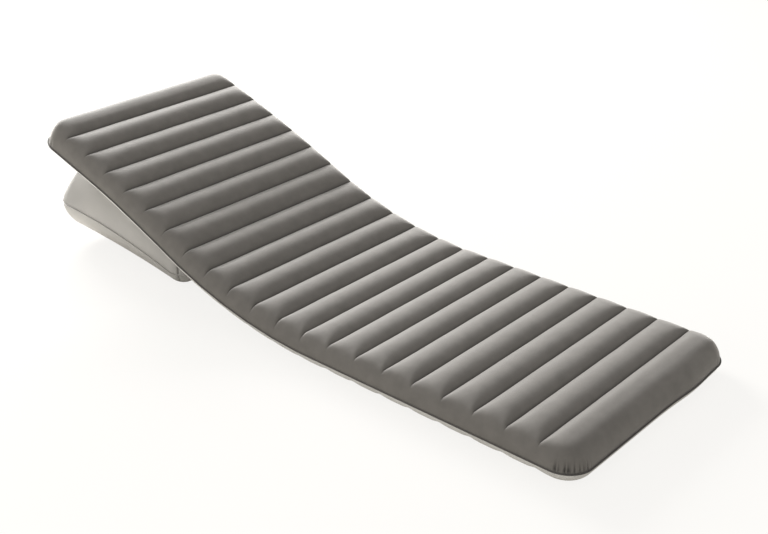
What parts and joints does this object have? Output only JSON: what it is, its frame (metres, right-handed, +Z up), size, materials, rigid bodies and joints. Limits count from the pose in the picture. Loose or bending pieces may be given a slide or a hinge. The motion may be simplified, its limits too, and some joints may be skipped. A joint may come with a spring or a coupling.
{
  "type": "inflatable air mattress",
  "caption": "Narrow ribbed camping air mattress whose head end rests on an inflated wedge backrest, with screw valve.",
  "frame": {"origin": "on the floor, under the crown of the last seat channel (the ninth from the foot), in the middle of the width", "axes": "+Z up, +Y towards the head, +X to the side with the mattress valve"},
  "size_m": [0.6944, 1.9418, 0.4006],
  "materials": {
    "flocked_top": "matte",
    "grey_sheet": "satin",
    "wedge_sheet": "satin",
    "web_sheet": "satin",
    "valve_plastic": "satin",
    "seal_rubber": "matte",
    "clear_vinyl": "gloss"
  },
  "bodies": {
    "seat": {"seat_top_sheet": "flocked_top", "seat_bottom_sheet": "grey_sheet", "baffle_1": "web_sheet", "baffle_2": "web_sheet", "baffle_3": "web_sheet", "baffle_4": "web_sheet", "baffle_5": "web_sheet", "baffle_6": "web_sheet", "baffle_7": "web_sheet", "baffle_8": "web_sheet", "baffle_9": "web_sheet", "valve_base": "valve_plastic", "wedge_upper_shell": "wedge_sheet", "wedge_lower_shell": "wedge_sheet", "wedge_tie_1": "web_sheet", "wedge_tie_2": "web_sheet", "wedge_tie_3": "web_sheet"},
    "bend_10": {"bend_10_top_sheet": "flocked_top", "bend_10_bottom_sheet": "grey_sheet", "baffle_10": "web_sheet"},
    "bend_11": {"bend_11_top_sheet": "flocked_top", "bend_11_bottom_sheet": "grey_sheet", "baffle_11": "web_sheet"},
    "bend_12": {"bend_12_top_sheet": "flocked_top", "bend_12_bottom_sheet": "grey_sheet", "baffle_12": "web_sheet"},
    "bend_13": {"bend_13_top_sheet": "flocked_top", "bend_13_bottom_sheet": "grey_sheet", "baffle_13": "web_sheet"},
    "bend_14": {"bend_14_top_sheet": "flocked_top", "bend_14_bottom_sheet": "grey_sheet", "baffle_14": "web_sheet"},
    "back": {"back_top_sheet": "flocked_top", "back_bottom_sheet": "grey_sheet", "baffle_15": "web_sheet", "baffle_16": "web_sheet", "baffle_17": "web_sheet", "baffle_18": "web_sheet", "baffle_19": "web_sheet", "baffle_20": "web_sheet", "wedge_anchor_strip": "web_sheet"},
    "gasket": {"valve_gasket": "seal_rubber"},
    "collar": {"valve_collar": "valve_plastic"},
    "valve_flap": {"valve_flap": "clear_vinyl"},
    "cap": {"valve_cap": "valve_plastic"},
    "wedge_stem": {"wedge_valve_stem": "clear_vinyl"},
    "wedge_plug": {"wedge_valve_plug": "clear_vinyl"},
    "wedge_flap": {"wedge_valve_flap": "clear_vinyl"}
  },
  "joints": [
    {"name": "backrest_recline", "type": "hinge", "parent": "seat", "child": "bend_10", "pos_m": [0, 0.0473, 0.012], "axis": [1, 0, 0], "range_deg": [-3.2, 0], "stiffness_Nm_per_rad": 3.94, "springref_deg": 65.66, "deforming": ["wedge_upper_shell", "wedge_lower_shell", "wedge_tie_1", "wedge_tie_2", "wedge_tie_3"]},
    {"name": "bend_10_hinge", "type": "hinge", "parent": "bend_10", "child": "bend_11", "pos_m": [0, 0.14168, 0.0186], "axis": [1, 0, 0], "range_deg": [-3.2, 0], "stiffness_Nm_per_rad": 3.9, "springref_deg": 54.95},
    {"name": "bend_11_hinge", "type": "hinge", "parent": "bend_11", "child": "bend_12", "pos_m": [0, 0.23537, 0.03177], "axis": [1, 0, 0], "range_deg": [-3.2, 0], "stiffness_Nm_per_rad": 3.76, "springref_deg": 46.29},
    {"name": "bend_12_hinge", "type": "hinge", "parent": "bend_12", "child": "bend_13", "pos_m": [0, 0.32792, 0.05144], "axis": [1, 0, 0], "range_deg": [-3.2, 0], "stiffness_Nm_per_rad": 3.47, "springref_deg": 39.82},
    {"name": "bend_13_hinge", "type": "hinge", "parent": "bend_13", "child": "bend_14", "pos_m": [0, 0.41886, 0.07752], "axis": [1, 0, 0], "range_deg": [-3.2, 0], "stiffness_Nm_per_rad": 3.06, "springref_deg": 34.95},
    {"name": "bend_14_hinge", "type": "hinge", "parent": "bend_14", "child": "back", "pos_m": [0, 0.50776, 0.10987], "axis": [1, 0, 0], "range_deg": [-3.2, 0], "stiffness_Nm_per_rad": 2.49, "springref_deg": 32.09},
    {"name": "gasket_lift", "type": "slide", "parent": "seat", "child": "gasket", "axis": [0.9436, 0, 0.3311], "range_m": [0, 0.004]},
    {"name": "collar_turn", "type": "hinge", "parent": "gasket", "child": "collar", "pos_m": [0.33438, -0.54, 0.05702], "axis": [0.9436, 0, 0.3311], "range_deg": [0, 360]},
    {"name": "valve_cap_hinge", "type": "hinge", "parent": "collar", "child": "cap", "pos_m": [0.34433, -0.5544, 0.06051], "axis": [0.3311, 0, -0.9436], "range_deg": [0, 150]},
    {"name": "valve_flap_hinge", "type": "hinge", "parent": "collar", "child": "valve_flap", "pos_m": [0.32532, -0.53, 0.05384], "axis": [0.3311, 0, -0.9436], "range_deg": [0, 40], "stiffness_Nm_per_rad": 0.001, "springref_deg": -11.46},
    {"name": "wedge_stem_drop", "type": "slide", "parent": "seat", "child": "wedge_stem", "axis": [0, 0, 1], "range_m": [-0.1297, 0]},
    {"name": "wedge_plug_hinge", "type": "hinge", "parent": "wedge_stem", "child": "wedge_plug", "pos_m": [0.0083, 1.15729, 0.14503], "axis": [0, 0.1469, -0.9892], "range_deg": [0, 110]},
    {"name": "wedge_flap_hinge", "type": "hinge", "parent": "wedge_stem", "child": "wedge_flap", "pos_m": [-0.0048, 1.13835, 0.14221], "axis": [0, 0.1469, -0.9892], "range_deg": [0, 40], "stiffness_Nm_per_rad": 0.0005, "springref_deg": -11.46}
  ],
  "couplings": [
    {"joint": "bend_10_hinge", "follows": "backrest_recline", "ratio": 1},
    {"joint": "bend_11_hinge", "follows": "backrest_recline", "ratio": 1},
    {"joint": "bend_12_hinge", "follows": "backrest_recline", "ratio": 1},
    {"joint": "bend_13_hinge", "follows": "backrest_recline", "ratio": 1},
    {"joint": "bend_14_hinge", "follows": "backrest_recline", "ratio": 1},
    {"joint": "collar_turn", "follows": "gasket_lift", "rad_per_m": 1570.6},
    {"joint": "wedge_stem_drop", "follows": "backrest_recline", "m_per_rad": 2.322}
  ]
}
